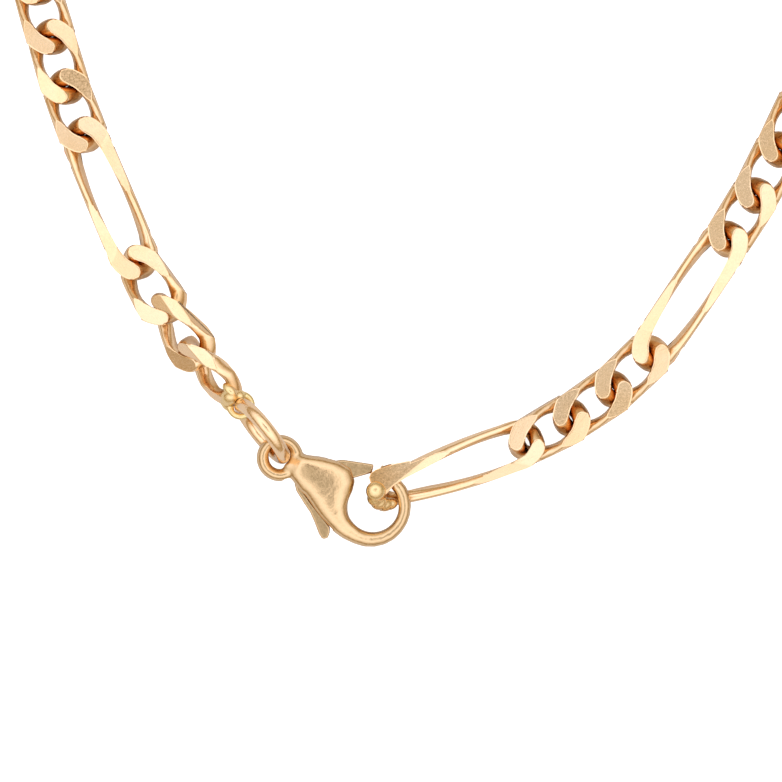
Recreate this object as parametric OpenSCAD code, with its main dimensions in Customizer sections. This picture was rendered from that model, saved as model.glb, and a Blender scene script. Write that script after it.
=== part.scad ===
// Figaro chain necklace, lying closed on a flat surface with its clasp to the front.
// X runs across the necklace, Y runs away from the clasp and Z is up.

/* [Chain] */
// Width of the chain over its filed sides, mm
chain_w = 4.65; // [4.55:0.05:4.8]
// Thickness of the chain between its filed faces, mm
chain_t = 2.0; // [1.94:0.02:2.06]
// Wire of a link, measured across the link before filing, mm
wire_w = 1.42; // [1.36:0.01:1.46]
// Wire of a link, measured through the link before filing, mm
wire_h = 1.38; // [1.3:0.01:1.42]
// Outer length of a short link, mm
short_len = 8.1; // [8.0:0.05:8.3]
// Outer length of a long link, mm
long_len = 16.0; // [15.8:0.1:16.3]
// Twist from the middle of a link to its end, degrees
link_twist = 45; // [44:0.5:47]
// How far a link can slide in the next one, mm
link_play = 0.5; // [0.46:0.01:0.56]
// How often the pattern of three short links and a long one repeats
repeats = 18; // [16:1:20]

/* [Clasp] */
// Wire of the hook, mm
hook_wire = 1.28; // [1.22:0.01:1.3]
// Diameter of the hook's opening, mm
hook_hole = 4.66; // [4.6:0.02:4.74]
// Outer diameter of the clasp's eye, mm
eye_d = 4.2; // [4.0:0.05:4.4]
// Hole in the clasp's eye, mm
eye_hole = 2.1; // [2.06:0.02:2.16]
// Thickness of the clasp's eye, mm
eye_t = 1.6; // [1.5:0.05:1.7]
// Depth of the countersink round the hole on each face, mm
eye_sink = 0.35; // [0.3:0.05:0.4]
// Thickness of the lever, mm
lever_t = 0.9; // [0.8:0.05:1.0]
// Gap between the lever and the walls of its slot, mm
lever_gap = 0.12; // [0.1:0.01:0.16]
// Diameter of the pin the lever turns on, mm
pin_d = 0.8; // [0.7:0.05:0.9]
// Running clearance round the pin, mm
pin_gap = 0.06; // [0.04:0.01:0.08]

/* [Jump ring] */
// Outer diameter of the jump ring, mm
ring_d = 7.3; // [7.25:0.05:7.4]
// Wire of the jump ring, mm
ring_wire = 1.28; // [1.22:0.02:1.3]

/* [Hidden] */

gold = [0.93, 0.74, 0.47];
pale_gold = [0.95, 0.80, 0.54];

// A link is an oval ring of six-sided wire, twisted along its length and filed flat.
ring_y = 2.12;
end_x = 1.7;
overlap = 2 * wire_w + link_play;
hooked_len = long_len + 0.6;
end_len = 7.6;
end_pinch = 0.42;
section = [[0.5, 0], [0.3, 0.5], [-0.3, 0.5], [-0.5, 0], [-0.3, -0.5], [0.3, -0.5]];

// Each kind of link: outer length, wire across, wire through, half width of the ring,
// half thickness, twist at the ends, pinch of the far end, long.
short_kind = [short_len, wire_w, wire_h, ring_y, chain_t / 2, link_twist, 0, false];
long_kind = [long_len, wire_w, wire_h, ring_y, chain_t / 2, link_twist, 0, true];
hooked_kind = [hooked_len, 0.92 * wire_w, 0.87 * wire_h, 2.2, chain_t / 2 + 0.05, link_twist + 5, 0, true];
end_kind = [end_len, wire_w, wire_h, ring_y, chain_t / 2, link_twist, end_pinch, false];

function arc_stations(a, b, side) = [
  for (k = [0:6])
    let (th = side * (90 - 30 * k), nx = cos(th) / end_x * side, ny = sin(th) / b, l = norm([nx, ny]))
    [side * (a - end_x) + side * end_x * cos(th), b * sin(th), nx / l, ny / l]
];
function stations(a, b, long) = concat(
  arc_stations(a, b, 1),
  long ? [[0, -b, 0, -1]] : [],
  arc_stations(a, b, -1),
  long ? [[0, b, 0, 1]] : []
);
function clamp(v, lim) = max(-lim, min(lim, v));
function link_points(kind) = let (a = (kind[0] - kind[1]) / 2) [
  for (st = stations(a, kind[3], kind[7]))
    for (s = section)
      let (
        x = st[0] + st[2] * s[0] * kind[1],
        f = x / a,
        y = (st[1] + st[3] * s[0] * kind[1]) * (1 - kind[6] * max(0, (f + 0.3) / 1.3)),
        z = s[1] * kind[2],
        q = -kind[5] * sign(f) * pow(abs(f), 0.9)
      )
      [x, clamp(y * cos(q) - z * sin(q), chain_w / 2), clamp(y * sin(q) + z * cos(q), kind[4])]
];
function link_faces(count) = [
  for (i = [0:count - 1])
    for (j = [0:5])
      let (
        p = i * 6 + j,
        q = i * 6 + (j + 1) % 6,
        r = ((i + 1) % count) * 6 + (j + 1) % 6,
        s = ((i + 1) % count) * 6 + j
      )
      each [[p, r, q], [p, s, r]]
];

// Hand-chosen points of the lie near the clasp, measured from the middle of the hook's opening.
lie_right = [[1.5, 1.4], [13.95, 5.75], [18.1, 7.98], [22.1, 10.7], [25.7, 14.2], [32.95, 25.0], [35.6, 29.35], [37.75, 33.6]];
lie_left = [[-13.55, 10.8], [-16.4, 14.1], [-19.15, 18.15], [-21.95, 22.7], [-26.75, 34.2], [-28.45, 38.8], [-29.75, 43.3], [-31.1, 47.9]];

function spline(p, n) = [
  for (i = [0:len(p) - 2])
    for (k = [0:n - 1])
      let (
        t = k / n,
        a = i > 0 ? p[i - 1] : 2 * p[0] - p[1],
        b = p[i],
        c = p[i + 1],
        d = i < len(p) - 2 ? p[i + 2] : 2 * p[len(p) - 1] - p[len(p) - 2]
      )
      0.5 * (2 * b + (c - a) * t + (2 * a - 5 * b + 4 * c - d) * t * t + (3 * b - a - 3 * c + d) * t * t * t)
];
function reversed(p) = [for (i = [len(p) - 1:-1:0]) p[i]];
function unit(v) = v / norm(v);
right_dir = unit(lie_right[7] - lie_right[6]);
left_dir = unit(lie_left[7] - lie_left[6]);
function hidden(m, n) = [
  for (k = [0:n - 1])
    let (t = k / n, s = 1 - t)
    s * s * s * lie_right[7] + 3 * s * s * t * (lie_right[7] + m * right_dir)
      + 3 * s * t * t * (lie_left[7] + m * left_dir) + t * t * t * lie_left[7]
];
function route(m) = concat(spline(lie_right, 6), hidden(m, 90), spline(reversed(lie_left), 6), [lie_left[0]]);

// Links are set end to end along the route; pitch is the distance from one joint to the next.
count = 4 * repeats;
function is_long(i) = i % 4 == 0;
function kind_of(i) = i == 0 ? hooked_kind : i == count - 1 ? end_kind : is_long(i) ? long_kind : short_kind;
stretch_hook = [0, -0.05, -0.12, 0.1];
stretch_ring = [0, 0, 0.15, 0.25];
function pitch(i) = kind_of(i)[0] - overlap + (i < 4 ? stretch_hook[i] : count - i < 4 ? stretch_ring[count - i] : 0);
function next_seg(r, p, d, i) = i >= len(r) - 2 || norm(r[i + 1] - p) >= d ? i : next_seg(r, p, d, i + 1);
function on_seg(a, b, p, d) = let (
  u = b - a,
  w = a - p,
  qa = u * u,
  qb = 2 * (u * w),
  qc = w * w - d * d,
  t = (-qb + sqrt(max(0, qb * qb - 4 * qa * qc))) / (2 * qa)
) a + u * t;
function walk(r, p, seg, i) = i == count ? [p] : let (
  d = pitch(i),
  s = next_seg(r, p, d, seg)
) concat([p], walk(r, on_seg(r[s], r[s + 1], p, d), s, i + 1));
function leftover(m) = let (
  r = route(m),
  j = walk(r, r[0], 0, 0),
  e = r[len(r) - 1]
) (e - j[count]) * unit(r[len(r) - 1] - r[len(r) - 2]);
function solve(lo, hi, n) = n == 0 ? (lo + hi) / 2 :
  let (mid = (lo + hi) / 2) leftover(mid) > 0 ? solve(lo, mid, n - 1) : solve(mid, hi, n - 1);
arm = solve(60, 420, 26);
path = route(arm);
joints = walk(path, path[0], 0, 0);

// Height of each joint above the surface and roll of each link about its length.
// Away from the clasp the links lie flat.
function from_end(i) = count - i;
near_hook = [1.88, 1.33, 1.16, 1.04];
near_ring = [3.05, 2.72, 2.3, 1.6, 1.12, 1.04];
function joint_z(i) = i < 4 ? near_hook[i] : from_end(i) < 6 ? near_ring[from_end(i)] : chain_t / 2 + 0.01;
hook_rolls = [19, 6, 2];
ring_rolls = [0, 62, 42, 12];
function roll(i) = i < 3 ? hook_rolls[i] : from_end(i) < 4 ? ring_rolls[from_end(i)] : 0;

// Rows of the turn that lays a link along the chord from joint a to joint b.
function frame_of(a, b, r) = let (
  x = unit(b - a),
  y0 = unit(cross([0, 0, 1], x)),
  z0 = cross(x, y0),
  y = y0 * cos(r) + z0 * sin(r),
  z = z0 * cos(r) - y0 * sin(r)
) [x, y, z];
function joint_at(i) = [joints[i][0], joints[i][1], joint_z(i)];
function placed(pts, f, c) = [for (p = pts) c + p[0] * f[0] + p[1] * f[1] + p[2] * f[2]];
function link_at(i) = let (
  a = joint_at(i),
  b = joint_at(i + 1)
) placed(link_points(kind_of(i)), frame_of(a, b, roll(i)), (a + b) / 2);

// The whole necklace is moved so that the middle of its outline is the origin.
clasp_turn = -27.2;
hook_front = -0.12;
clasp_pitch = 2.9;
hook_r = hook_hole / 2 + hook_wire / 2;
all_points = [for (i = [1:count - 2]) each link_at(i)];
xs = [for (p = all_points) p[0]];
ys = [for (p = all_points) p[1]];
front_y = hook_front - hook_r * norm([sin(clasp_turn) * cos(clasp_pitch), cos(clasp_turn)]) - hook_wire / 2;
shift = [-(min(xs) + max(xs)) / 2, -(front_y + max(ys)) / 2, 0];

module one_link(i) {
  polyhedron(points = link_at(i), faces = link_faces(is_long(i) ? 16 : 14), convexity = 6);
}

module chain_right() {
  color(gold) translate(shift)
    for (i = [1:count / 2 - 1]) one_link(i);
}

module chain_left() {
  color(gold) translate(shift)
    for (i = [count / 2:count - 2]) one_link(i);
}

module hooked_link() {
  color(gold) translate(shift) one_link(0);
}

// Jump ring, standing on its edge and leaning a little.
ring_lean = 10.5;
ring_turn = -51.5;
ring_r = (ring_d - ring_wire) / 2;
ring_mid = [-10.17, 6.83, ring_r * cos(ring_lean) + ring_wire / 2];

module jump_ring() {
  color(gold) translate(shift) translate(ring_mid) rotate([0, 0, ring_turn]) rotate([90 - ring_lean, 0, 0])
    rotate_extrude(angle = 360, $fn = 48) translate([ring_r, 0]) circle(d = ring_wire, $fn = 24);
}

// The last short link is soldered shut, with a small eye for the jump ring on its end.
eyelet_r = 1.17;
eyelet_wire = 0.6;
eyelet_x = end_len / 2 + 0.5;
eyelet_roll = -57;

module set_link(i) {
  a = joint_at(i);
  b = joint_at(i + 1);
  f = frame_of(a, b, roll(i));
  c = (a + b) / 2;
  multmatrix([
    [f[0][0], f[1][0], f[2][0], c[0]],
    [f[0][1], f[1][1], f[2][1], c[1]],
    [f[0][2], f[1][2], f[2][2], c[2]]
  ]) children();
}

module end_link() {
  color(gold) translate(shift) {
    difference() {
      one_link(count - 1);
      set_link(count - 1) translate([eyelet_x, 0, 0]) rotate([eyelet_roll, 0, 0])
        cylinder(r = eyelet_r - eyelet_wire / 2, h = 5, center = true, $fn = 32);
    }
    set_link(count - 1) translate([eyelet_x, 0, 0]) rotate([eyelet_roll, 0, 0])
      rotate_extrude(angle = 360, $fn = 32) translate([eyelet_r, 0]) circle(d = eyelet_wire, $fn = 16);
  }
}

// Clasp, drawn flat about the middle of the hook's opening and then set in place.
hook_z = 2.05;
eye_at = [-9.62, -0.05];
eye_hole_at = [-9.8, 0.1];
body_spots = [[-7.7, 0.39, 0.83], [-6.83, -0.3, 1.1], [-3.93, 1.5, 1.0], [-4.93, -0.77, 1.5], [-2.03, -2.8, 1.0]];
pivot = [-6.9, -0.1];
hook_at = [0, -0.13];
tip_to = [-0.75, 3.28];
tip_r = 0.45;
boss_r = 0.76;
lever_open = 14;
slot_t = lever_t + 2 * lever_gap;

module clasp_place() {
  translate(shift) translate([0, 0, hook_z]) rotate([0, 0, clasp_turn]) rotate([0, clasp_pitch, 0]) children();
}

// The lever's outline: the gate tongue, then the thumb tab, then round the hinge.
gate_edge = [[-4.41, 2.44], [-1.7, 3.36], [-1.5, 2.6], [-2.9, 1.3], [-4.65, 0.35], [-6.35, -0.6]];
tab_edge = [[-6.75, -1.4], [-6.2, -1.95], [-4.75, -2.78], [-3.2, -3.82], [-2.5, -4.45], [-2.48, -4.85],
  [-2.83, -4.9], [-3.49, -4.42], [-4.9, -3.28], [-6.02, -2.5], [-7.3, -1.6], [-7.62, -0.9]];
hinge_edge = [for (a = [200:-18:110]) pivot + boss_r * [cos(a), sin(a)]];

module slot_outline() {
  polygon([[-7.3, 0.85], [-4.6, 2.75], [-3, 4.5], [-1, 4.5], [-1, 0], [-4.3, -0.62], [-6.05, -1.2], [-6.1, -1.85],
    [-5.2, -2.9], [-8.6, -2.9], [-8.2, -1.3], [-7.82, -0.6], [-7.82, 0.3]]);
}

module hook_curve() {
  translate(hook_at) rotate([0, 0, -150]) rotate_extrude(angle = 212, $fn = 64)
    translate([hook_r, 0]) circle(d = hook_wire, $fn = 24);
  tip_from = [hook_at[0] + hook_r * cos(62), hook_at[1] + hook_r * sin(62)];
  reach = tip_to - tip_from;
  translate(tip_from) sphere(d = 1.04 * hook_wire, $fn = 24);
  translate(tip_from) rotate([0, 0, atan2(reach[1], reach[0])]) rotate([0, 90, 0])
    cylinder(r1 = hook_wire / 2, r2 = tip_r, h = norm(reach), $fn = 24);
  translate(tip_to) sphere(r = 1.06 * tip_r, $fn = 24);
}

module eye_opening() {
  cylinder(d = eye_hole, h = 6, center = true, $fn = 48);
  for (face = [0, 180])
    rotate([face, 0, 0]) translate([0, 0, eye_t / 2 - eye_sink])
      cylinder(d1 = eye_hole, d2 = eye_hole + 4 * eye_sink, h = 2 * eye_sink, $fn = 48);
}

module clasp_body() {
  color(pale_gold) clasp_place() {
    difference() {
      union() {
        difference() {
          hull() for (s = body_spots) translate([s[0], s[1], 0]) sphere(r = s[2], $fn = 20);
          translate(hook_at) cylinder(d = hook_hole, h = 6, center = true, $fn = 64);
        }
        translate(eye_at) cylinder(d = eye_d, h = eye_t, center = true, $fn = 48);
      }
      translate(eye_hole_at) eye_opening();
      difference() {
        linear_extrude(slot_t, center = true) slot_outline();
        translate(pivot) cylinder(d = pin_d, h = 4, center = true, $fn = 32);
      }
    }
    hook_curve();
  }
}

module clasp_lever() {
  color(pale_gold) clasp_place() difference() {
    linear_extrude(lever_t, center = true) polygon(concat(gate_edge, tab_edge, hinge_edge));
    translate(pivot) cylinder(d = pin_d + 2 * pin_gap, h = 4, center = true, $fn = 32);
  }
}

chain_left();
chain_right();
end_link();
hooked_link();
jump_ring();
clasp_body();
clasp_lever();
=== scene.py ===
"""A gold figaro chain necklace with its lobster clasp, lying on a pale floor."""

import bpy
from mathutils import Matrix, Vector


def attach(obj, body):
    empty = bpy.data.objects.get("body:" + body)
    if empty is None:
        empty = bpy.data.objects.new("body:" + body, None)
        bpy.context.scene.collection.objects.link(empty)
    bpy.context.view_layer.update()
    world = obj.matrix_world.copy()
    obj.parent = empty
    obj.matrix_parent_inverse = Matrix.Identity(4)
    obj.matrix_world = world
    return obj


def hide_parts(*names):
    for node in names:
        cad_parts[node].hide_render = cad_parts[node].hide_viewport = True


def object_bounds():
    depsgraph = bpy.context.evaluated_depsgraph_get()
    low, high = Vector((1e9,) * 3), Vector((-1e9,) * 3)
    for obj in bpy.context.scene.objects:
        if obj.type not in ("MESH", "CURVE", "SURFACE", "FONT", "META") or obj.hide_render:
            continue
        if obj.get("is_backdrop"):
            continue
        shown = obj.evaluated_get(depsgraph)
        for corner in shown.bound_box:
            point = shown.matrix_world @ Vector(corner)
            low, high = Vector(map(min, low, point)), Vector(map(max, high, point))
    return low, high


bl_info = {
    "name": "Figaro chain necklace",
    "version": (1, 0, 0),
    "blender": (4, 5, 0),
    "location": "3D View > Sidebar > Figaro chain",
    "description": "Builds a filed figaro chain, its jump ring and its lobster clasp round the packed part",
    "category": "Add Mesh",
}

import math
import random

import bpy
from bpy.props import FloatProperty, FloatVectorProperty, IntProperty, PointerProperty
from mathutils import Matrix, Vector

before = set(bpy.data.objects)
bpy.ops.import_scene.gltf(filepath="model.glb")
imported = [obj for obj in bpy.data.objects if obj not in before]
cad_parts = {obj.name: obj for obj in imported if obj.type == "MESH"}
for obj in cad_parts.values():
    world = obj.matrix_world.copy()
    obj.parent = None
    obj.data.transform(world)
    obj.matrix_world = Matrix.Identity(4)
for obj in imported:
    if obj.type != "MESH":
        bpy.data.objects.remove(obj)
CAD_BOX = [list(map(float, corner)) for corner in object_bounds()]

MM = 0.001
MM_TO_M = Matrix.Scale(MM, 4)

# Points that each arm of the chain lies on, in millimetres from the middle of the hook's opening.
LIE_RIGHT = [(1.5, 1.4), (13.95, 5.75), (18.1, 7.98), (22.1, 10.7), (25.7, 14.2), (32.95, 25.0),
             (35.6, 29.35), (37.75, 33.6)]
LIE_LEFT = [(-13.55, 10.8), (-16.4, 14.1), (-19.15, 18.15), (-21.95, 22.7), (-26.75, 34.2),
            (-28.45, 38.8), (-29.75, 43.3), (-31.1, 47.9)]
# Heights of the joints next to the hook and to the jump ring, the rolls of those links, and their pull.
NEAR_HOOK = [1.88, 1.33, 1.16, 1.04]
NEAR_RING = [3.05, 2.72, 2.3, 1.6, 1.12, 1.04]
HOOK_ROLLS = [19.0, 6.0, 2.0]
RING_ROLLS = [0.0, 62.0, 42.0, 12.0]
STRETCH_HOOK = [0.0, -0.05, -0.12, 0.1]
STRETCH_RING = [0.0, 0.0, 0.15, 0.25]
# From the middle of the hook's opening to the necklace's own origin.
SHIFT = Vector((-11.3196, -102.816, 0.0))
FAR_POINTS = 90
ROUTE_TRIES = 26

# Tilt of the two filed faces of each link in view, in degrees: left of its length, then right.
FILED_TILT = {0: (17.0, -3.0), 1: (0.0, 1.0), 2: (4.5, -1.0), 3: (2.5, 6.5), 4: (11.0, 11.0), 5: (2.5, 9.0),
              6: (2.0, 6.5), 7: (2.0, 6.5), 71: (8.0, 2.0), 70: (10.0, 0.0), 69: (8.0, 2.0), 68: (8.0, 7.0),
              67: (2.0, 1.5), 66: (10.0, 10.5), 65: (3.0, 2.0), 64: (3.0, 6.5)}
# Extra tilt of the narrow planes along the two rails of the long links in view.
RIBBON_TILT = {0: (-8.0, 5.0), 4: (1.0, 1.0), 68: (2.5, 3.0)}
# The last links lie rolled over, and show a filed ribbon along their raised side: its tilt, its distance out.
RIBBON = {69: (17.0, 1.2), 70: (31.0, 1.56), 71: (50.0, 1.78)}
# Depth of the burnished edge round a filed face, as a share of its width.
RIM_SLOPE = 0.42


# ---------------------------------------------------------------- sizes and colours


class FigaroChainSizes(bpy.types.PropertyGroup):
    chain_w: FloatProperty(name="Width", description="Width over the filed sides, mm", default=4.65, min=3.0,
                           max=8.0)
    chain_t: FloatProperty(name="Thickness", description="Thickness between the filed faces, mm", default=2.0,
                           min=1.0)
    wire: FloatProperty(name="Wire", description="Wire of a link before filing, mm", default=1.8, min=0.6,
                        max=2.5)
    rail: FloatProperty(name="Rail", description="Width of a link's long sides seen from above, mm",
                        default=0.98, min=0.4)
    grip: FloatProperty(name="Grip", description="How far two links overlap end to end, mm", default=3.34,
                        min=2.0)
    short_len: FloatProperty(name="Short link", description="Outer length of a short link, mm", default=8.1,
                             min=5.0)
    long_len: FloatProperty(name="Long link", description="Outer length of a long link, mm", default=16.0,
                            min=10.0)
    twist: FloatProperty(name="Twist", description="Twist at the ends of a link, degrees", default=45.0,
                         min=20.0)
    repeats: IntProperty(name="Repeats", description="Patterns of three short links and a long one",
                         default=18, min=4)
    edge: FloatProperty(name="Filed edge", description="Width of the burnished edge round a filed face, mm",
                        default=0.13, min=0.01)


class FigaroClaspSizes(bpy.types.PropertyGroup):
    hook_hole: FloatProperty(name="Hook opening", description="Diameter of the hook's opening, mm",
                             default=4.66)
    eye_d: FloatProperty(name="Eye", description="Outer diameter of the eye, mm", default=4.2)
    eye_hole: FloatProperty(name="Eye hole", description="Hole in the eye, mm", default=2.1)
    eye_t: FloatProperty(name="Eye thickness", description="Thickness of the eye, mm", default=1.6)
    lever_t: FloatProperty(name="Lever", description="Thickness of the lever, mm", default=0.9)
    lever_gap: FloatProperty(name="Lever gap", description="Air each side of the lever, mm", default=0.12)
    ring_d: FloatProperty(name="Jump ring", description="Outer diameter of the jump ring, mm", default=7.3)
    ring_wire: FloatProperty(name="Ring wire", description="Wire of the jump ring, mm", default=1.28)


class FigaroGold(bpy.types.PropertyGroup):
    gold: FloatVectorProperty(name="Gold", description="Colour of the polished gold", subtype="COLOR",
                              size=3, default=(0.95, 0.695, 0.43), min=0.0, max=1.0)
    solder: FloatVectorProperty(name="Solder", description="Colour of the yellower solder", subtype="COLOR",
                                size=3, default=(0.84, 0.67, 0.32), min=0.0, max=1.0)
    cast: FloatVectorProperty(name="Cast gold", description="Colour of the browner cast clasp",
                              subtype="COLOR", size=3, default=(0.79, 0.555, 0.305), min=0.0, max=1.0)
    polish: FloatProperty(name="Polish", description="Roughness of the polished wire", default=0.13,
                          min=0.0, max=1.0)
    satin: FloatProperty(name="Satin", description="Roughness of the filed faces", default=0.24, min=0.0,
                         max=1.0)


class FigaroStage(bpy.types.PropertyGroup):
    camera_height: FloatProperty(name="Camera height", description="Height of the camera above the floor",
                                 default=0.4, unit="LENGTH", min=0.1)
    view_width: FloatProperty(name="View width", description="Width of floor in the picture",
                              default=0.07194, unit="LENGTH", min=0.01)
    light: FloatProperty(name="Light", description="Strength of the studio light", default=1.0, min=0.0)


def chain():
    return bpy.context.scene.figaro_chain


def clasp():
    return bpy.context.scene.figaro_clasp


def gold():
    return bpy.context.scene.figaro_gold


# ---------------------------------------------------------------- modelling helpers


def leave_edit():
    if bpy.context.object and bpy.context.object.mode != "OBJECT":
        bpy.ops.object.mode_set(mode="OBJECT")


def clear_selection():
    leave_edit()
    bpy.ops.object.select_all(action="DESELECT")


def only(*objs):
    """Selects these objects and nothing else, the last one active."""
    clear_selection()
    for obj in objs:
        obj.select_set(True)
    bpy.context.view_layer.objects.active = objs[-1]
    return objs[-1]


def edit(obj, test=None):
    """Goes into edit mode with the vertices that pass the test selected, or all of them."""
    only(obj)
    bpy.ops.object.mode_set(mode="EDIT")
    bpy.ops.mesh.select_mode(type="VERT")
    bpy.ops.mesh.select_all(action="SELECT" if test is None else "DESELECT")
    if test is not None:
        bpy.ops.object.mode_set(mode="OBJECT")
        for v in obj.data.vertices:
            v.select = test(v.co)
        bpy.ops.object.mode_set(mode="EDIT")


def shift_part(obj, test, by):
    """Moves the vertices that pass the test."""
    edit(obj, test)
    bpy.ops.transform.translate(value=by)
    leave_edit()


def settle(obj):
    """Puts an object's place, turn and scale into its mesh."""
    only(obj)
    bpy.ops.object.transform_apply(location=True, rotation=True, scale=True)
    return obj


def apply_modifier(obj, kind, **values):
    only(obj)
    mod = obj.modifiers.new(kind.title(), kind)
    for key, value in values.items():
        setattr(mod, key, value)
    bpy.ops.object.modifier_apply(modifier=mod.name)


def copy_of(obj, name):
    """A copy with a mesh of its own."""
    twin = obj.copy()
    twin.data = obj.data.copy()
    twin.name = twin.data.name = name
    bpy.context.collection.objects.link(twin)
    return twin


def join(objs, name):
    obj = only(*objs)
    if len(objs) > 1:
        bpy.ops.object.join()
    obj.name = obj.data.name = name
    return obj


def plate(outline, thick, name):
    """A flat plate of the given outline, middle plane at Z 0."""
    clear_selection()
    bpy.ops.mesh.primitive_circle_add(vertices=len(outline), radius=1, fill_type="NGON")
    obj = bpy.context.object
    for v, p in zip(obj.data.vertices, outline):
        v.co = (p[0], p[1], -thick / 2)
    edit(obj)
    bpy.ops.mesh.extrude_region_move(TRANSFORM_OT_translate={"value": (0, 0, thick)})
    bpy.ops.mesh.select_all(action="SELECT")
    bpy.ops.mesh.normals_make_consistent(inside=False)
    leave_edit()
    obj.name = obj.data.name = name
    return obj


def cut_away(obj, cutter):
    """Cuts the second object out of the first, and clears it away."""
    apply_modifier(obj, "BOOLEAN", operation="DIFFERENCE", object=cutter, solver="EXACT")
    bpy.data.objects.remove(cutter)


def bore(obj, at, radius, sides):
    """Cuts a round hole right through a piece."""
    clear_selection()
    bpy.ops.mesh.primitive_cylinder_add(vertices=sides, radius=radius, depth=6, location=at)
    cut_away(obj, bpy.context.object)


def file_off(obj, co, no, test=None, rim=0.0):
    """Files off what lies beyond a plane, and leaves a narrow burnished edge round the new face."""
    no = Vector(no).normalized()
    edit(obj, test)
    bpy.ops.mesh.bisect(plane_co=Vector(co) - no * RIM_SLOPE * rim, plane_no=no, use_fill=True,
                        clear_outer=True, threshold=0.0001)
    if rim:
        bpy.ops.mesh.inset(thickness=rim, depth=RIM_SLOPE * rim)
    obj.active_material_index = 1
    bpy.ops.object.material_slot_assign()
    leave_edit()


def score(obj, co, no):
    """Adds a ring of edges where a plane meets the piece."""
    edit(obj)
    bpy.ops.mesh.bisect(plane_co=co, plane_no=no, use_fill=False, threshold=0.0001)
    leave_edit()


def to_frame(obj, matrix):
    """Puts a piece drawn in its own millimetres at its place in the necklace, in metres."""
    obj.data.transform(MM_TO_M @ matrix)
    obj.data.update()


def smooth(obj, angle=35.0, weighted=True):
    only(obj)
    bpy.ops.object.shade_smooth_by_angle(angle=math.radians(angle))
    if weighted:
        apply_modifier(obj, "WEIGHTED_NORMAL", mode="FACE_AREA", weight=60, keep_sharp=True)


def paint(obj, *names):
    """Gives a piece these materials and no others."""
    obj.data.materials.clear()
    for name in names:
        obj.data.materials.append(bpy.data.materials[name])


# ---------------------------------------------------------------- lie of the chain


def spline(points, steps):
    """A smooth run of points through the given ones, without the last."""
    out = []
    for i in range(len(points) - 1):
        b, c = points[i], points[i + 1]
        a = points[i - 1] if i else 2 * b - c
        d = points[i + 2] if i + 2 < len(points) else 2 * c - b
        for k in range(steps):
            t = k / steps
            out.append(0.5 * (2 * b + (c - a) * t + (2 * a - 5 * b + 4 * c - d) * t * t
                              + (3 * b - a - 3 * c + d) * t * t * t))
    return out


def kind_of(i, count):
    if i == 0:
        return "hooked"
    if i == count - 1:
        return "end"
    return "long" if i % 4 == 0 else "short"


def link_length(kind):
    c = chain()
    return {"hooked": c.long_len + 0.6, "end": 7.6, "long": c.long_len, "short": c.short_len}[kind]


def joint_points():
    """Joints between the links, from the hook round the neck to the jump ring."""
    c = chain()
    count = 4 * c.repeats
    right = [Vector(p) for p in LIE_RIGHT]
    left = [Vector(p) for p in LIE_LEFT]
    right_dir = (right[7] - right[6]).normalized()
    left_dir = (left[7] - left[6]).normalized()

    def pitch(i):
        extra = STRETCH_HOOK[i] if i < 4 else STRETCH_RING[count - i] if count - i < 4 else 0.0
        return link_length(kind_of(i, count)) - c.grip + extra

    def route(arm):
        far = []
        for k in range(FAR_POINTS):
            t = k / FAR_POINTS
            s = 1 - t
            far.append(s * s * s * right[7] + 3 * s * s * t * (right[7] + arm * right_dir)
                       + 3 * s * t * t * (left[7] + arm * left_dir) + t * t * t * left[7])
        return spline(right, 6) + far + spline(left[::-1], 6) + [left[0]]

    def walk(path):
        spots, seg = [path[0]], 0
        for i in range(count):
            p, d = spots[-1], pitch(i)
            while seg < len(path) - 2 and (path[seg + 1] - p).length < d:
                seg += 1
            a, u = path[seg], path[seg + 1] - path[seg]
            w = a - p
            qa, qb, qc = u.dot(u), 2 * u.dot(w), w.dot(w) - d * d
            spots.append(a + u * ((-qb + math.sqrt(max(0.0, qb * qb - 4 * qa * qc))) / (2 * qa)))
        return spots

    # The far side of the loop is drawn out until the last joint meets the jump ring.
    low, high = 60.0, 420.0
    for _ in range(ROUTE_TRIES):
        mid = (low + high) / 2
        path = route(mid)
        over = (path[-1] - walk(path)[-1]).dot((path[-1] - path[-2]).normalized())
        low, high = (low, mid) if over > 0 else (mid, high)
    spots = walk(route((low + high) / 2))
    heights = []
    for i in range(count + 1):
        back = count - i
        heights.append(NEAR_HOOK[i] if i < 4 else NEAR_RING[back] if back < 6 else c.chain_t / 2 + 0.01)
    return [Vector((p.x, p.y, z)) for p, z in zip(spots, heights)]


def link_place(joints, i):
    """Where link i lies: its length along X, its flat face up."""
    count = len(joints) - 1
    a, b = joints[i], joints[i + 1]
    roll = HOOK_ROLLS[i] if i < 3 else RING_ROLLS[count - i] if count - i < 4 else 0.0
    x = (b - a).normalized()
    y0 = Vector((0, 0, 1)).cross(x).normalized()
    z0 = x.cross(y0)
    r = math.radians(roll)
    y = y0 * math.cos(r) + z0 * math.sin(r)
    z = z0 * math.cos(r) - y0 * math.sin(r)
    turn = Matrix((x, y, z)).transposed().to_4x4()
    return Matrix.Translation((a + b) / 2 + SHIFT) @ turn


# ---------------------------------------------------------------- nodes


def noise(n, l, vector, scale, detail, roughness=0.5):
    node = n.new("ShaderNodeTexNoise")
    for key, value in (("Scale", scale), ("Detail", detail), ("Roughness", roughness)):
        node.inputs[key].default_value = value
    l.new(vector, node.inputs["Vector"])
    return node.outputs["Fac"]


def sum_of(n, l, kind, a, b=None, c=None):
    """A Math node of links and plain numbers."""
    node = n.new("ShaderNodeMath")
    node.operation = kind
    for spot, value in enumerate((a, b, c)):
        if isinstance(value, float):
            node.inputs[spot].default_value = value
        elif value is not None:
            l.new(value, node.inputs[spot])
    return node.outputs["Value"]


def ranged(n, l, value, low, high, kind="LINEAR"):
    """A Map Range node that takes low to high as its input."""
    node = n.new("ShaderNodeMapRange")
    node.interpolation_type = kind
    l.new(value, node.inputs["Value"])
    node.inputs["From Min"].default_value = low
    node.inputs["From Max"].default_value = high
    return node


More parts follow.
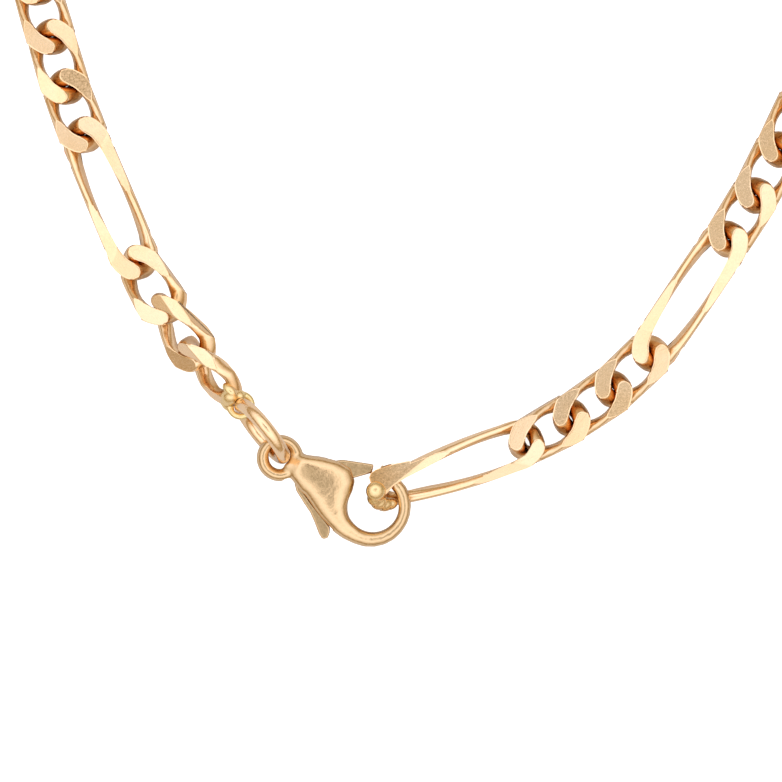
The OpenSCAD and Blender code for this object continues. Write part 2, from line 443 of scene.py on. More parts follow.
def blend(n, l, under, over, mask):
    """Lays one colour over another where the mask says; over may be a plain colour."""
    node = n.new("ShaderNodeMix")
    node.data_type = "RGBA"
    l.new(under, node.inputs["A"])
    if isinstance(over, tuple):
        node.inputs["B"].default_value = (*over, 1)
    else:
        l.new(over, node.inputs["B"])
    l.new(mask, node.inputs["Factor"])
    return node.outputs["Result"]


# ---------------------------------------------------------------- gold


# Name, kind, start value and highest value of what goes into the group.
GOLD_SOCKETS = [("Metal", "Color", (1, 0.67, 0.4, 1), None), ("Tone", "Color", (1, 0.6, 0.3, 1), None),
                ("Polish", "Float", 0.12, 1), ("Wear", "Float", 0.25, 1),
                ("Grain", "Float", 0.1, 4), ("Ripple", "Float", 0.3, 4)]
# Brown painted into the crevices between links as shade, and into the browner ground near the soldering.
SHADE_AND_SCORCH_BROWN = (0.62, 0.32, 0.09)


def finish_group():
    """Colour, roughness and normal of worn gold: grain, fine scratches, slow changes of tone, and painted
    brown shade in the crevices between links, with the browner ground near the soldering.
    """
    group = bpy.data.node_groups.new("Worn gold and crevice shade", "ShaderNodeTree")
    for name, kind, default, high in GOLD_SOCKETS:
        item = group.interface.new_socket(name=name, in_out="INPUT", socket_type="NodeSocket" + kind)
        item.default_value = default
        if high is not None:
            item.min_value, item.max_value = 0, high
    for name, kind in (("Color", "Color"), ("Roughness", "Float"), ("Normal", "Vector")):
        group.interface.new_socket(name=name, in_out="OUTPUT", socket_type="NodeSocket" + kind)
    n, l = group.nodes, group.links
    gin, gout = n.new("NodeGroupInput"), n.new("NodeGroupOutput")
    where = n.new("ShaderNodeTexCoord").outputs["Object"]

    slow = noise(n, l, where, 260.0, 3.0)
    fine = noise(n, l, where, 5500.0, 2.0)
    swell = noise(n, l, where, 1500.0, 2.0)
    stretch = n.new("ShaderNodeMapping")
    stretch.inputs["Scale"].default_value = (400.0, 5200.0, 2600.0)
    stretch.inputs["Rotation"].default_value = (0.3, 0.2, 0.7)
    l.new(where, stretch.inputs["Vector"])
    scratch = noise(n, l, stretch.outputs["Vector"], 1.0, 3.0, 0.7)

    drift = ranged(n, l, slow, 0.4, 0.68).outputs["Result"]
    tone = blend(n, l, gin.outputs["Metal"], gin.outputs["Tone"], drift)
    # Painted shade: brown laid over the gold where a point sits deep in a crevice, and the browner ground
    # near the soldering.
    deep = n.new("ShaderNodeAttribute")
    deep.attribute_name = "Crevice shade and scorch"
    l.new(blend(n, l, tone, SHADE_AND_SCORCH_BROWN, deep.outputs["Fac"]), gout.inputs["Color"])

    mixed = n.new("ShaderNodeMix")
    mixed.inputs["Factor"].default_value = 0.25
    l.new(fine, mixed.inputs["A"])
    l.new(scratch, mixed.inputs["B"])
    rough = ranged(n, l, mixed.outputs["Result"], 0.36, 0.66)
    l.new(gin.outputs["Polish"], rough.inputs["To Min"])
    l.new(gin.outputs["Wear"], rough.inputs["To Max"])
    l.new(rough.outputs["Result"], gout.inputs["Roughness"])

    uneven = sum_of(n, l, "MULTIPLY", swell, gin.outputs["Ripple"])
    height = sum_of(n, l, "MULTIPLY_ADD", fine, gin.outputs["Grain"], uneven)
    bump = n.new("ShaderNodeBump")
    bump.inputs["Distance"].default_value = 0.00002
    l.new(height, bump.inputs["Height"])
    l.new(bump.outputs["Normal"], gout.inputs["Normal"])
    return group


def metal(name, group, **values):
    """One finish of gold: the group of worn gold and painted crevice shade with its own values, on a metal
    shader.
    """
    mat = bpy.data.materials.new(name)
    mat.use_nodes = True
    n, l = mat.node_tree.nodes, mat.node_tree.links
    shader = n["Principled BSDF"]
    shader.inputs["Metallic"].default_value = 1.0
    shader.inputs["IOR"].default_value = 1.5
    node = n.new("ShaderNodeGroup")
    node.node_tree = group
    for key, value in values.items():
        node.inputs[key.title()].default_value = (*value, 1) if key in ("metal", "tone") else value
    l.new(node.outputs["Color"], shader.inputs["Base Color"])
    l.new(node.outputs["Roughness"], shader.inputs["Roughness"])
    l.new(node.outputs["Normal"], shader.inputs["Normal"])


class FIGARO_OT_gold(bpy.types.Operator):
    """Mixes the gold finishes: polished wire, filed faces, worked ring, cast clasp, lever (the cast gold
    darkened as painted shade) and solder
    """

    bl_idname = "figaro.gold"
    bl_label = "Gold finishes"

    def execute(self, context):
        g = gold()
        group = finish_group()
        base, cast = Vector(g.gold), Vector(g.cast)
        warm = Vector((base.x, base.y * 0.95, base.z * 0.86))
        wire = {"metal": base, "tone": warm, "polish": g.polish, "wear": g.polish + 0.12}
        cast_polish = {"polish": g.polish + 0.02, "wear": g.polish + 0.12, "grain": 0.08, "ripple": 1.6}
        metal("Polished wire", group, **wire, grain=0.04, ripple=0.8)
        metal("Filed face", group, metal=base, tone=warm * 0.99, polish=g.satin * 0.6, wear=g.satin + 0.06,
              grain=0.16, ripple=0.25)
        metal("Worked ring", group, **wire, grain=0.06, ripple=1.8)
        metal("Cast clasp", group, metal=cast, tone=cast * 0.93, **cast_polish)
        # The lever is the clasp's cast gold darkened: painted shade on the gate and its tab.
        metal("Lever", group, metal=cast * 0.92, tone=cast * 0.84, **cast_polish)
        metal("Solder", group, metal=g.solder, tone=warm, polish=g.polish + 0.06, wear=g.satin + 0.1,
              grain=0.3, ripple=2.0)
        return {"FINISHED"}


# ---------------------------------------------------------------- links


# Middle radius of the ring that every link is drawn out from, and the spacing of its rings of edges.
BEND = 1.55
SCORE_STEP = 0.5
# Where the sides of a link begin to thin, in from the middle of its end bend, and how long that takes.
SHOULDER, TAPER = 0.35, 2.6
# The widened end of the hooked link, in that link's own plane, its thickness and its middle height.
PAD_EDGE = [(-7.95, 1.2), (-8.12, 1.6), (-8.1, 2.05), (-7.85, 2.4), (-7.3, 2.58), (-6.5, 2.6), (-5.4, 2.5),
            (-4.0, 2.3), (-4.2, 1.7), (-5.2, 1.45), (-6.2, 1.15), (-7.2, 0.95), (-7.65, 0.98)]
PAD_T, PAD_LIFT = 0.95, 0.98
# Middle of the browner ground that the soldering left on that end.
BURNT_AT = Vector((-7.8, 1.7, 1.0))


def link_blank(kind):
    """A link before filing: an oval ring of wire, drawn out, thinned along its sides and twisted."""
    c = chain()
    wire, twist, high = c.wire, c.twist, 0.9
    if kind == "hooked":
        wire, twist, high = 0.84 * c.wire, c.twist + 5, 0.95
    half = (c.chain_w - c.rail) / 2
    length = link_length(kind)
    a = (length - wire) / 2
    clear_selection()
    bpy.ops.mesh.primitive_torus_add(major_radius=BEND, minor_radius=wire / 2, major_segments=48,
                                     minor_segments=24, align="WORLD", location=(0, 0, 0))
    obj = bpy.context.object
    obj.name = "blank_" + kind
    shift_part(obj, lambda co: co.y > 0.01, (0, half - BEND, 0))
    shift_part(obj, lambda co: co.y < -0.01, (0, BEND - half, 0))
    shift_part(obj, lambda co: co.x > 0.01, (a - BEND, 0, 0))
    shift_part(obj, lambda co: co.x < -0.01, (BEND - a, 0, 0))
    edit(obj)
    bpy.ops.transform.resize(value=(1, 1, high))
    leave_edit()
    steps = max(2, int(2 * (a - BEND) / SCORE_STEP))
    for k in range(1, steps):
        x = (a - BEND) * (2 * k / steps - 1)
        if abs(x) > 0.05:
            score(obj, (x, 0, 0), (1, 0, 0))
    slim = 1 - c.rail / wire
    for v in obj.data.vertices:
        t = min(1.0, max(0.0, (a - SHOULDER - abs(v.co.x)) / TAPER))
        side = half if v.co.y > 0 else -half
        if abs(v.co.x) < a - SHOULDER:
            v.co.y += (side - v.co.y) * slim * t * t * (3 - 2 * t)
        if a - wire / 2 - 0.1 < abs(v.co.x) < a:
            # The inside of the end bend is worn thinner where the next link crosses it.
            mid = max(0.0, 1 - abs(v.co.y) / 1.1)
            v.co.x += (math.copysign(a, v.co.x) - v.co.x) * 0.17 * mid * mid * (3 - 2 * mid)
        if kind == "end":
            v.co.y *= 1 - 0.36 * max(0.0, (v.co.x / a + 0.3) / 1.3)
    apply_modifier(obj, "SIMPLE_DEFORM", deform_method="TWIST", deform_axis="X",
                   angle=math.radians(-twist * length / a))
    if kind == "hooked":
        pad = widened_end()
        apply_modifier(obj, "BOOLEAN", operation="UNION", object=pad, solver="EXACT")
        bpy.data.objects.remove(pad)
    paint(obj, "Polished wire", "Filed face")
    return obj


def widened_end():
    """The hooked link's near end is hammered wider, and lies over the tip of the clasp's gate."""
    pad = plate(PAD_EDGE, PAD_T, "pad")
    shift_part(pad, None, (0, 0, PAD_LIFT))
    apply_modifier(pad, "BEVEL", width=0.16, segments=3, limit_method="ANGLE", angle_limit=math.radians(50))
    return pad


def filed_link(blank, name, tilt, thick, ribbon=None, raised=None, pad=False):
    """Files a twisted link on both faces. Long links also get a second, narrower plane along each rail."""
    c = chain()
    obj = copy_of(blank, name)
    top, reach = thick / 2, max(v.co.x for v in blank.data.vertices)
    for k, side in enumerate((1, -1)):
        lean = math.radians(tilt[k])
        corner = lambda co: side * co.y > -0.4 and side * co.x < reach - 2.2
        if ribbon is not None:
            at, turn = (side * (2.3 - reach), side * 1.2, top), lean + math.radians(ribbon[k])
            file_off(obj, at, (side * 0.02, side * math.sin(turn), math.cos(turn)), corner)
            file_off(obj, at, (-side * 0.03, side * math.sin(lean), math.cos(lean)), corner, c.edge)
        else:
            at = (0, side * (1.2 if lean > 0 else 0.4), top)
            file_off(obj, at, (0, side * math.sin(lean), math.cos(lean)), corner, c.edge)
    if raised is not None:
        lean, out = math.radians(raised[0]), raised[1]
        no = Vector((0, math.sin(lean), math.cos(lean)))
        file_off(obj, no * out, no, None, c.edge)
    file_off(obj, (0, 0, -top), (0, 0, -1), None, c.edge)
    for side in (1, -1):
        if pad and side > 0:
            file_off(obj, (-7.0, 2.6, 0), (0.025, 1, 0), None, c.edge)
        else:
            file_off(obj, (0, side * (c.chain_w / 2 - 0.07), 0), (0, side, 0), None, c.edge)
    # Painted shade in the crevices between links, and the browner ground near the soldering.
    mark_shade_and_scorch(obj, reach, pad)
    smooth(obj, 50)
    return obj


def mark_shade_and_scorch(obj, reach, pad):
    """Notes on each point how deep it sits in the crevice between two links, for painted shade there, or how
    near the soldering, for its browner ground.
    """
    c = chain()
    values = []
    for v in obj.data.vertices:
        # The painted shade is strongest where the next link crosses and below the filed faces.
        away = math.sqrt((abs(v.co.x) - reach + c.grip / 2) ** 2 + v.co.y ** 2 + v.co.z ** 2)
        near = min(1.0, max(0.0, (2.1 - away) / 1.1))
        deep = min(1.0, max(0.0, (0.92 - abs(v.co.z)) / 0.6))
        burnt = min(1.0, max(0.0, 1.35 - (v.co - BURNT_AT).length / 2.2)) if pad else 0.0
        values.append(max(near * deep, 0.7 * burnt))
    mark = obj.data.attributes.new("Crevice shade and scorch", "FLOAT", "POINT")
    mark.data.foreach_set("value", values)


# ---------------------------------------------------------------- solder and jump ring


RING_XY = (-10.17, 6.83)
RING_LEAN, RING_TURN = math.radians(10.5), math.radians(-51.5)
EYELET_R, EYELET_WIRE, EYELET_ROLL = 1.04, 0.3, math.radians(-57)
SOLDER_GRAIN = 0.08


def ring_place():
    """Where the jump ring stands, leaning a little, between the clasp's eye and the end link."""
    c = clasp()
    r = (c.ring_d - c.ring_wire) / 2
    mid = Vector((*RING_XY, r * math.cos(RING_LEAN) + c.ring_wire / 2))
    return (Matrix.Translation(mid + SHIFT) @ Matrix.Rotation(RING_TURN, 4, "Z")
            @ Matrix.Rotation(math.pi / 2 - RING_LEAN, 4, "X"))


def ring_torus(extra, segments):
    """The jump ring at the origin, its wire thicker by the given amount on each side."""
    c = clasp()
    clear_selection()
    bpy.ops.mesh.primitive_torus_add(major_radius=(c.ring_d - c.ring_wire) / 2,
                                     minor_radius=c.ring_wire / 2 + extra, major_segments=segments,
                                     minor_segments=32)
    return bpy.context.object


def lump(at, size, turn=0.0):
    """A rounded lump of solder."""
    clear_selection()
    bpy.ops.mesh.primitive_ico_sphere_add(subdivisions=4, radius=1.0, location=at, scale=size,
                                          rotation=(0, 0, math.radians(turn)))
    return settle(bpy.context.object)


def melt(objs, name, matrix, seat=None):
    """Melts lumps of solder into one uneven body, clear of the jump ring, and lays it in its place."""
    obj = join(objs, name)
    apply_modifier(obj, "REMESH", mode="VOXEL", voxel_size=SOLDER_GRAIN)
    apply_modifier(obj, "SMOOTH", factor=0.5, iterations=12)
    if seat is not None:
        ring = ring_torus(0.05, 96)
        ring.data.transform(seat)
        cut_away(obj, ring)
    smooth(obj, 50, weighted=False)
    paint(obj, "Solder")
    to_frame(obj, matrix)
    return obj


def solder_eye(joints):
    """The small eye soldered on the pinched end of the last link, with the solder run up its sides."""
    end = link_length("end") / 2
    clear_selection()
    bpy.ops.mesh.primitive_torus_add(major_radius=EYELET_R, minor_radius=EYELET_WIRE, major_segments=48,
                                     minor_segments=20)
    eye = bpy.context.object
    eye.matrix_world = Matrix.Translation((end + 0.5, 0, 0)) @ Matrix.Rotation(EYELET_ROLL, 4, "X")
    settle(eye)
    run = [lump((end - 0.75, 0.0, 0.15), (0.9, 1.15, 0.98)),
           lump((end - 0.3, 0.4, -0.3), (0.7, 0.6, 0.6), 20),
           lump((end - 0.5, -0.6, 0.55), (0.95, 0.62, 0.6), -10),
           lump((end - 1.2, 0.9, 0.25), (0.8, 0.42, 0.5), 10)]
    place = link_place(joints, len(joints) - 2)
    return melt([eye] + run, "solder_eye", place, seat=place.inverted() @ ring_place())


def solder_joint(joints):
    """The bead of solder on the hooked link's widened end, and the solder run down its bent end."""
    end = -link_length("hooked") / 2
    beads = [lump((end + 0.38, 0.75, 1.14), (0.92, 0.95, 0.72), 12),
             lump((end + 0.15, 0.05, 0.86), (0.78, 0.78, 0.68)),
             lump((end + 0.35, -0.5, 0.68), (0.8, 0.74, 0.7)),
             lump((end + 0.72, -0.92, 0.48), (0.84, 0.7, 0.68), -25),
             lump((end + 1.2, -1.15, 0.32), (0.8, 0.58, 0.6), -10)]
    return melt(beads, "solder_joint", link_place(joints, 0))


class FIGARO_OT_chain(bpy.types.Operator):
    """Twists and files every link and lays them round the neck, with the end link and the hooked one"""

    bl_idname = "figaro.chain"
    bl_label = "Chain"

    def execute(self, context):
        dice = random.Random(7)
        joints = joint_points()
        count = len(joints) - 1
        blanks = {kind: link_blank(kind) for kind in ("short", "long", "hooked", "end")}
        links = []
        for i in range(count):
            kind = kind_of(i, count)
            tilt = FILED_TILT.get(i, (dice.uniform(1.0, 7.5), dice.uniform(1.0, 9.0)))
            thick = chain().chain_t + (0.1 if kind == "hooked" else 0.0)
            ribbon = None
            if kind in ("long", "hooked"):
                ribbon = RIBBON_TILT.get(i, (dice.uniform(-3.0, 4.0), dice.uniform(-3.0, 4.0)))
            link = filed_link(blanks[kind], "link_%02d" % i, tilt, thick, ribbon, RIBBON.get(i), i == 0)
            to_frame(link, link_place(joints, i))
            links.append(link)
        for blank in blanks.values():
            bpy.data.objects.remove(blank)
        groups = {
            "chain_right": links[1:count // 2],
            "chain_left": links[count // 2:count - 1],
            "hooked_link": links[:1] + [solder_joint(joints)],
            "end_link": links[count - 1:] + [solder_eye(joints)],
        }
        for node, members in groups.items():
            piece = join(members, node + "_filed")
            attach(piece, "necklace")
            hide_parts(node)
        return {"FINISHED"}


class FIGARO_OT_jump_ring(bpy.types.Operator):
    """Makes the round jump ring that stands between the clasp's eye and the end link"""

    bl_idname = "figaro.jump_ring"
    bl_label = "Jump ring"

    def execute(self, context):
        obj = ring_torus(0.0, 120)
        paint(obj, "Worked ring")
        smooth(obj, 60, weighted=False)
        to_frame(obj, ring_place())
        obj.name = obj.data.name = "jump_ring_wire"
        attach(obj, "necklace")
        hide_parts("jump_ring")
        return {"FINISHED"}


# ---------------------------------------------------------------- clasp


# All in the clasp's own plane, from near the middle of the hook's opening.
HOOK_AT = Vector((0.0, -0.13, 0.0))
EYE_AT = Vector((-9.62, -0.05, 0.0))
EYE_HOLE_AT = Vector((-9.8, 0.16, 0.0))
PIVOT = Vector((-6.9, -0.1, 0.0))
# From the eye to the tip of the hook: ridge X and Y, width to its inner and outer side, half thickness.
CAST = [(-9.0, 0.15, 0.95, 1.0, 0.72), (-8.3, 0.2, 1.0, 1.3, 0.98), (-7.75, 0.2, 1.1, 1.55, 1.24),
        (-7.25, 0.18, 1.3, 1.72, 1.33), (-6.75, 0.13, 1.6, 1.9, 1.36), (-6.2, 0.05, 1.9, 2.02, 1.37),
        (-5.5, -0.1, 2.4, 2.02, 1.37), (-4.85, -0.4, 2.92, 2.0, 1.36), (-4.3, -0.8, 2.74, 1.95, 1.34),
        (-3.85, -1.25, 2.25, 1.85, 1.31), (-3.4, -1.7, 1.75, 1.65, 1.27), (-2.95, -2.12, 1.35, 1.42, 1.22),
        (-2.4, -2.5, 1.06, 1.2, 1.15), (-1.75, -2.85, 0.88, 1.05, 1.05), (-1.0, -3.05, 0.78, 0.95, 0.94)]
# The hook, by angle round its opening: degrees, inner and outer radius, half thickness.
HOOK = [(270, 2.31, 3.83, 0.85), (285, 2.32, 3.78, 0.78), (300, 2.33, 3.72, 0.73), (315, 2.34, 3.67, 0.69),
        (330, 2.35, 3.61, 0.66), (345, 2.36, 3.56, 0.63), (360, 2.37, 3.53, 0.62), (375, 2.37, 3.53, 0.62),
        (390, 2.37, 3.54, 0.62), (405, 2.37, 3.56, 0.62), (418, 2.37, 3.58, 0.61)]
# The hook's rounded tip: X, Y, half width, half thickness.
TIP = [(0.75, 2.76, 0.57, 0.57), (0.1, 2.99, 0.52, 0.52), (-0.45, 3.18, 0.48, 0.48),
       (-0.85, 3.32, 0.42, 0.42), (-1.08, 3.4, 0.3, 0.3), (-1.18, 3.44, 0.12, 0.12)]
# How square a section is: full where the body swells, less down its tail, round along the hook.
FULL, TAIL, ROUND = 3.1, 2.6, 2.05
SECTION_POINTS = 48
CAST_GRAIN = 0.085
GATE_EDGE = [(-4.41, 2.44), (-1.7, 3.36), (-1.5, 2.6), (-2.9, 1.3), (-4.65, 0.35), (-6.35, -0.6)]
TAB_EDGE = [(-6.75, -1.4), (-6.2, -1.9), (-5.2, -2.42), (-4.2, -2.86), (-3.3, -3.26), (-2.66, -3.6),
            (-2.44, -4.05), (-2.38, -4.5), (-2.55, -4.78), (-2.86, -4.86), (-3.27, -4.6), (-4.08, -3.87),
            (-4.85, -3.24), (-5.82, -2.7), (-6.9, -2.05), (-7.3, -1.6), (-7.62, -0.9)]
SLOT_EDGE = [(-7.3, 0.85), (-4.6, 2.75), (-3, 4.5), (-1, 4.5), (-1, 0), (-4.3, -0.62), (-6.05, -1.2),
             (-5.9, -1.7), (-4.95, -2.2), (-3.95, -2.65), (-3.1, -3.0), (-2.3, -3.5), (-2.2, -5.2),
             (-8.6, -5.2), (-8.6, -2.0), (-8.2, -1.3), (-7.82, -0.6), (-7.82, 0.3)]
# Height of the clasp's middle plane, and how it lies turned and tipped.
CLASP_LIFT, CLASP_TURN, CLASP_TIP = 2.05, math.radians(-27.2), math.radians(2.9)


def clasp_place():
    return (Matrix.Translation(SHIFT + Vector((0, 0, CLASP_LIFT))) @ Matrix.Rotation(CLASP_TURN, 4, "Z")
            @ Matrix.Rotation(CLASP_TIP, 4, "Y"))


def loft(sections, name):
    """Skins a run of closed sections, each with as many points, and closes its two ends."""
    clear_selection()
    bpy.ops.mesh.primitive_circle_add(vertices=len(sections[0]), radius=1, fill_type="NOTHING")
    obj = bpy.context.object
    for v, p in zip(obj.data.vertices, sections[0]):
        v.co = p
    edit(obj)
    bpy.ops.mesh.edge_face_add()
    for before, after in zip(sections, sections[1:]):
        spot = {tuple(round(c, 4) for c in p): q for p, q in zip(before, after)}
        bpy.ops.mesh.extrude_region_move()
        bpy.ops.object.mode_set(mode="OBJECT")
        for v in obj.data.vertices:
            if v.select:
                v.co = spot[tuple(round(c, 4) for c in v.co)]
        bpy.ops.object.mode_set(mode="EDIT")
    edit(obj)
    bpy.ops.mesh.remove_doubles(threshold=0.0005)
    bpy.ops.mesh.normals_make_consistent(inside=False)
    leave_edit()
    obj.name = obj.data.name = name
    return obj


def cast_sections():
    """The sections of the clasp's body and hook, flatter on top where the body swells."""
    spots = [(Vector((x, y, 0)), inner, outer, t, FULL if i < 9 else TAIL)
             for i, (x, y, inner, outer, t) in enumerate(CAST)]
    for deg, r0, r1, t in HOOK:
        way = Vector((math.cos(math.radians(deg)), math.sin(math.radians(deg)), 0))
        spots.append((HOOK_AT + way * (r0 + r1) / 2, (r1 - r0) / 2, (r1 - r0) / 2, t, ROUND))
    spots += [(Vector((x, y, 0)), w, w, t, ROUND) for x, y, w, t in TIP]
    out = []
    for i, (at, inner, outer, t, power) in enumerate(spots):
        ahead = spots[min(i + 1, len(spots) - 1)][0] - spots[max(i - 1, 0)][0]
        left = Vector((-ahead.y, ahead.x, 0)).normalized()
        ring = []
        for k in range(SECTION_POINTS):
            turn = 2 * math.pi * k / SECTION_POINTS
            u, v = math.cos(turn), math.sin(turn)
            swell = (abs(u) ** power + abs(v) ** power) ** (-1 / power)
            ring.append(at + left * (u * swell * (inner if u > 0 else outer)) + Vector((0, 0, v * swell * t)))
        out.append(ring)
    return out


class FIGARO_OT_clasp(bpy.types.Operator):
    """Casts the clasp: its eye, its swelling body with the slot for the lever, and its hook"""

    bl_idname = "figaro.clasp"
    bl_label = "Clasp"

    def execute(self, context):
        c = clasp()
        body = loft(cast_sections(), "clasp_cast")
        clear_selection()
        bpy.ops.mesh.primitive_torus_add(location=EYE_AT, major_radius=(c.eye_d + c.eye_hole) / 4,
                                         minor_radius=(c.eye_d - c.eye_hole) / 4 + 0.06, major_segments=64,
                                         minor_segments=28)
        eye = bpy.context.object
        eye.scale = (1, 1, c.eye_t / ((c.eye_d - c.eye_hole) / 2 + 0.12))
        whole = join([settle(eye), body], "clasp_cast")
        apply_modifier(whole, "REMESH", mode="VOXEL", voxel_size=CAST_GRAIN)
        bore(whole, HOOK_AT, c.hook_hole / 2, 96)
        bore(whole, EYE_HOLE_AT, c.eye_hole / 2 - 0.06, 64)
        apply_modifier(whole, "REMESH", mode="VOXEL", voxel_size=CAST_GRAIN)
        apply_modifier(whole, "SMOOTH", factor=0.5, iterations=22)
        cut_away(whole, plate(SLOT_EDGE, c.lever_t + 2 * c.lever_gap, "slot"))
        smooth(whole, 35, weighted=False)
        paint(whole, "Cast clasp")
        to_frame(whole, clasp_place())
        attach(whole, "necklace")
        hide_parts("clasp_body")
        return {"FINISHED"}


class FIGARO_OT_lever(bpy.types.Operator):
    """Makes the sprung lever: the gate that closes the hook, and its thumb tab"""

    bl_idname = "figaro.lever"
    bl_label = "Lever"

    def execute(self, context):
        c = clasp()
        round_pin = [tuple(PIVOT.xy + 0.76 * Vector((math.cos(math.radians(a)), math.sin(math.radians(a)))))
                     for a in range(200, 109, -18)]
        lever = plate(GATE_EDGE + TAB_EDGE + round_pin, c.lever_t, "clasp_gate")
        apply_modifier(lever, "BEVEL", width=0.16, segments=4, limit_method="ANGLE",
                       angle_limit=math.radians(40))
        smooth(lever, 40)
        paint(lever, "Lever")
        to_frame(lever, clasp_place())
        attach(lever, "lever")
        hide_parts("clasp_lever")
        return {"FINISHED"}


# ---------------------------------------------------------------- stage


# The sky by its distance from straight overhead (0) to the horizon (1): dimmer overhead and low down.
SKY = [(0.0, (0.69, 0.655, 0.58)), (0.025, (0.75, 0.725, 0.66)), (0.05, (0.93, 0.92, 0.92)),
       (0.13, (0.96, 0.94, 0.95)), (0.17, (1.18, 1.16, 1.2)), (0.22, (1.45, 1.43, 1.52)),
       (0.3, (1.55, 1.53, 1.68)), (0.5, (1.25, 1.24, 1.32)), (0.68, (0.9, 0.845, 0.79)),
       (0.8, (0.57, 0.46, 0.31)), (0.92, (0.42, 0.305, 0.175)), (1.0, (0.58, 0.49, 0.37))]
STRIP_COLOUR, DISC_COLOUR = (0.22, 0.17, 0.1), (0.5, 0.49, 0.45)
# Point of the floor that the camera looks at, in millimetres from the middle of the hook's opening.
LOOK_AT = (1.61, 10.488)
FILM = 36.0


def studio_world(strength):
    """Even studio light from a pale sky, with two darker cards overhead."""
    world = bpy.data.worlds.new("Studio")
    bpy.context.scene.world = world
    world.use_nodes = True
    n, l = world.node_tree.nodes, world.node_tree.links
    back = n["Background"]
    where = n.new("ShaderNodeTexCoord")
    split = n.new("ShaderNodeSeparateXYZ")
    l.new(where.outputs["Generated"], split.inputs["Vector"])
    ramp = n.new("ShaderNodeValToRGB")
    while len(ramp.color_ramp.elements) < len(SKY):
        ramp.color_ramp.elements.new(0.5)
    for element, (at, value) in zip(ramp.color_ramp.elements, SKY):
        element.position = at
        element.color = (*value, 1)
    zenith = sum_of(n, l, "ARCCOSINE", split.outputs["Z"])
    l.new(sum_of(n, l, "DIVIDE", zenith, math.pi / 2), ramp.inputs["Fac"])
    strip, disc = dark_cards(n, l, split)
    shade = blend(n, l, ramp.outputs["Color"], STRIP_COLOUR, strip)
    l.new(blend(n, l, shade, DISC_COLOUR, disc), back.inputs["Color"])
    back.inputs["Strength"].default_value = strength


def dark_cards(n, l, split):
    """Masks of a narrow strip and an oval disc overhead, which draw the dark patch on the clasp's body."""
    def step(value, low, high):
        return ranged(n, l, value, low, high, "SMOOTHSTEP").outputs["Result"]

    along = sum_of(n, l, "DIVIDE", split.outputs["Y"], split.outputs["Z"])
    across = sum_of(n, l, "DIVIDE", split.outputs["X"], split.outputs["Z"])
    aside = sum_of(n, l, "ABSOLUTE", sum_of(n, l, "SUBTRACT", across, 0.05))
    strip = sum_of(n, l, "MULTIPLY", step(along, 0.1, 0.13), step(along, 0.26, 0.21))
    dx = sum_of(n, l, "SUBTRACT", across, 0.085)
    dy = sum_of(n, l, "MULTIPLY", sum_of(n, l, "ADD", along, 0.09), 0.45)
    square = sum_of(n, l, "ADD", sum_of(n, l, "MULTIPLY", dx, dx), sum_of(n, l, "MULTIPLY", dy, dy))
    away = sum_of(n, l, "SQRT", square)
    return sum_of(n, l, "MULTIPLY", strip, step(aside, 0.17, 0.11)), step(away, 0.11, 0.04)


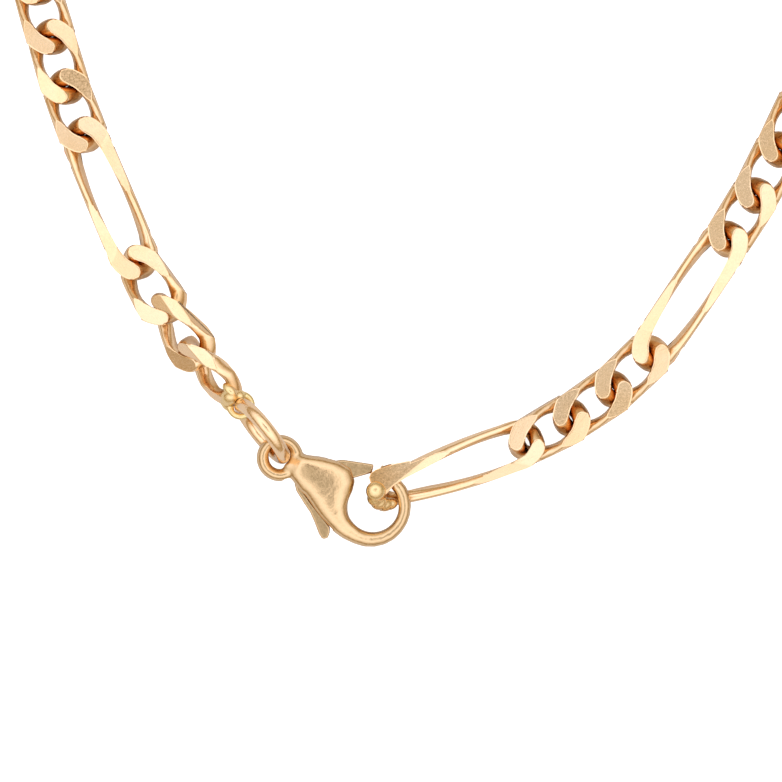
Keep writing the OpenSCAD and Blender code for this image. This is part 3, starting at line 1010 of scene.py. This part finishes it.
class FIGARO_OT_stage(bpy.types.Operator):
    """Sets the pale floor, the soft light and the camera straight above the clasp"""

    bl_idname = "figaro.stage"
    bl_label = "Floor, light and camera"

    def execute(self, context):
        s = context.scene.figaro_stage
        clear_selection()
        bpy.ops.mesh.primitive_plane_add(size=1.6, location=(0, 0, -0.00002))
        floor = bpy.context.object
        floor.name = "floor"
        mat = bpy.data.materials.new("Pale floor")
        mat.use_nodes = True
        shader = mat.node_tree.nodes["Principled BSDF"]
        shader.inputs["Base Color"].default_value = (0.72, 0.72, 0.72, 1)
        shader.inputs["Roughness"].default_value = 0.9
        seen = mat.node_tree.nodes.new("ShaderNodeLightPath")
        mat.node_tree.links.new(seen.outputs["Is Camera Ray"], shader.inputs["Emission Strength"])
        shader.inputs["Emission Color"].default_value = (0.9, 0.9, 0.9, 1)
        floor.data.materials.append(mat)
        floor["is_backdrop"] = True
        studio_world(s.light)
        data = bpy.data.cameras.new("Camera")
        data.sensor_width = FILM
        data.lens = FILM * (s.camera_height - MM) / s.view_width
        data.clip_start = 0.01
        data.clip_end = 10.0
        camera = bpy.data.objects.new("Camera", data)
        context.collection.objects.link(camera)
        camera.location = ((LOOK_AT[0] + SHIFT.x) * MM, (LOOK_AT[1] + SHIFT.y) * MM, s.camera_height)
        context.scene.camera = camera
        context.scene.view_settings.view_transform = "Standard"
        context.scene.view_settings.look = "None"
        return {"FINISHED"}


# ---------------------------------------------------------------- panel and main


class FIGARO_PT_panel(bpy.types.Panel):
    bl_idname = "FIGARO_PT_panel"
    bl_label = "Figaro chain"
    bl_space_type = "VIEW_3D"
    bl_region_type = "UI"
    bl_category = "Figaro chain"

    def draw(self, context):
        layout = self.layout
        scene = context.scene
        for group in (scene.figaro_chain, scene.figaro_clasp, scene.figaro_gold, scene.figaro_stage):
            box = layout.box()
            for name in group.__annotations__:
                box.prop(group, name)
        for name in ("gold", "chain", "jump_ring", "clasp", "lever", "stage"):
            layout.operator("figaro." + name)


CLASSES = (FigaroChainSizes, FigaroClaspSizes, FigaroGold, FigaroStage, FIGARO_OT_gold, FIGARO_OT_chain,
           FIGARO_OT_jump_ring, FIGARO_OT_clasp, FIGARO_OT_lever, FIGARO_OT_stage, FIGARO_PT_panel)


def register():
    for cls in CLASSES:
        bpy.utils.register_class(cls)
    bpy.types.Scene.figaro_chain = PointerProperty(type=FigaroChainSizes)
    bpy.types.Scene.figaro_clasp = PointerProperty(type=FigaroClaspSizes)
    bpy.types.Scene.figaro_gold = PointerProperty(type=FigaroGold)
    bpy.types.Scene.figaro_stage = PointerProperty(type=FigaroStage)


def unregister():
    for name in ("figaro_chain", "figaro_clasp", "figaro_gold", "figaro_stage"):
        delattr(bpy.types.Scene, name)
    for cls in reversed(CLASSES):
        bpy.utils.unregister_class(cls)


def main():
    register()
    bpy.ops.figaro.gold()
    bpy.ops.figaro.chain()
    bpy.ops.figaro.jump_ring()
    bpy.ops.figaro.clasp()
    bpy.ops.figaro.lever()
    bpy.ops.figaro.stage()
    visual = [list(map(float, corner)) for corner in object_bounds()]


if __name__ == "__main__":
    main()
